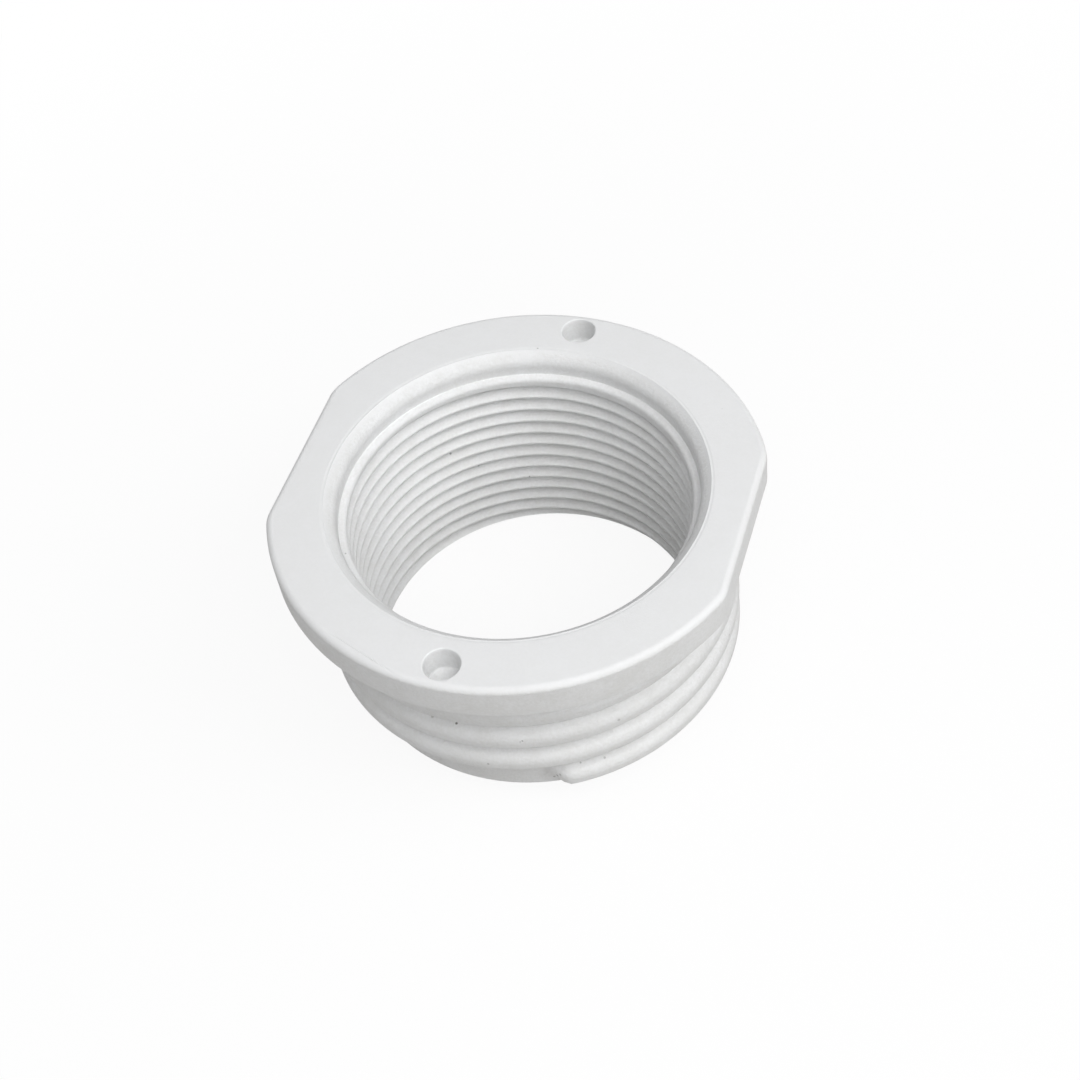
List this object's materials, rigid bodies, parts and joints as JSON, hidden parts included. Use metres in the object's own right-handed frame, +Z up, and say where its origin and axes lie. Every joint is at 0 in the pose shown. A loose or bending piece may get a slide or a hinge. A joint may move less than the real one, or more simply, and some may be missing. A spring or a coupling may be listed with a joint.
{
  "type": "threaded drain adapter",
  "caption": "Short plastic adapter sleeve with a flange, wrench flats and spanner holes, a fine thread in its bore and a coarse thread outside.",
  "frame": {"origin": "centre of the lower end face, on the bore's axis, at the base of the overall box", "axes": "+Z up the bore towards the flange's top face, +X and -X out of the two wrench flats, +Y and -Y towards the two spanner holes"},
  "size_m": [0.0602, 0.0646, 0.0318],
  "materials": {
    "moulded_plastic": "white moulded plastic, satin on the flange and slightly grained in the threads"
  },
  "bodies": {
    "root": {"adapter_body": "moulded_plastic"}
  },
  "joints": []
}
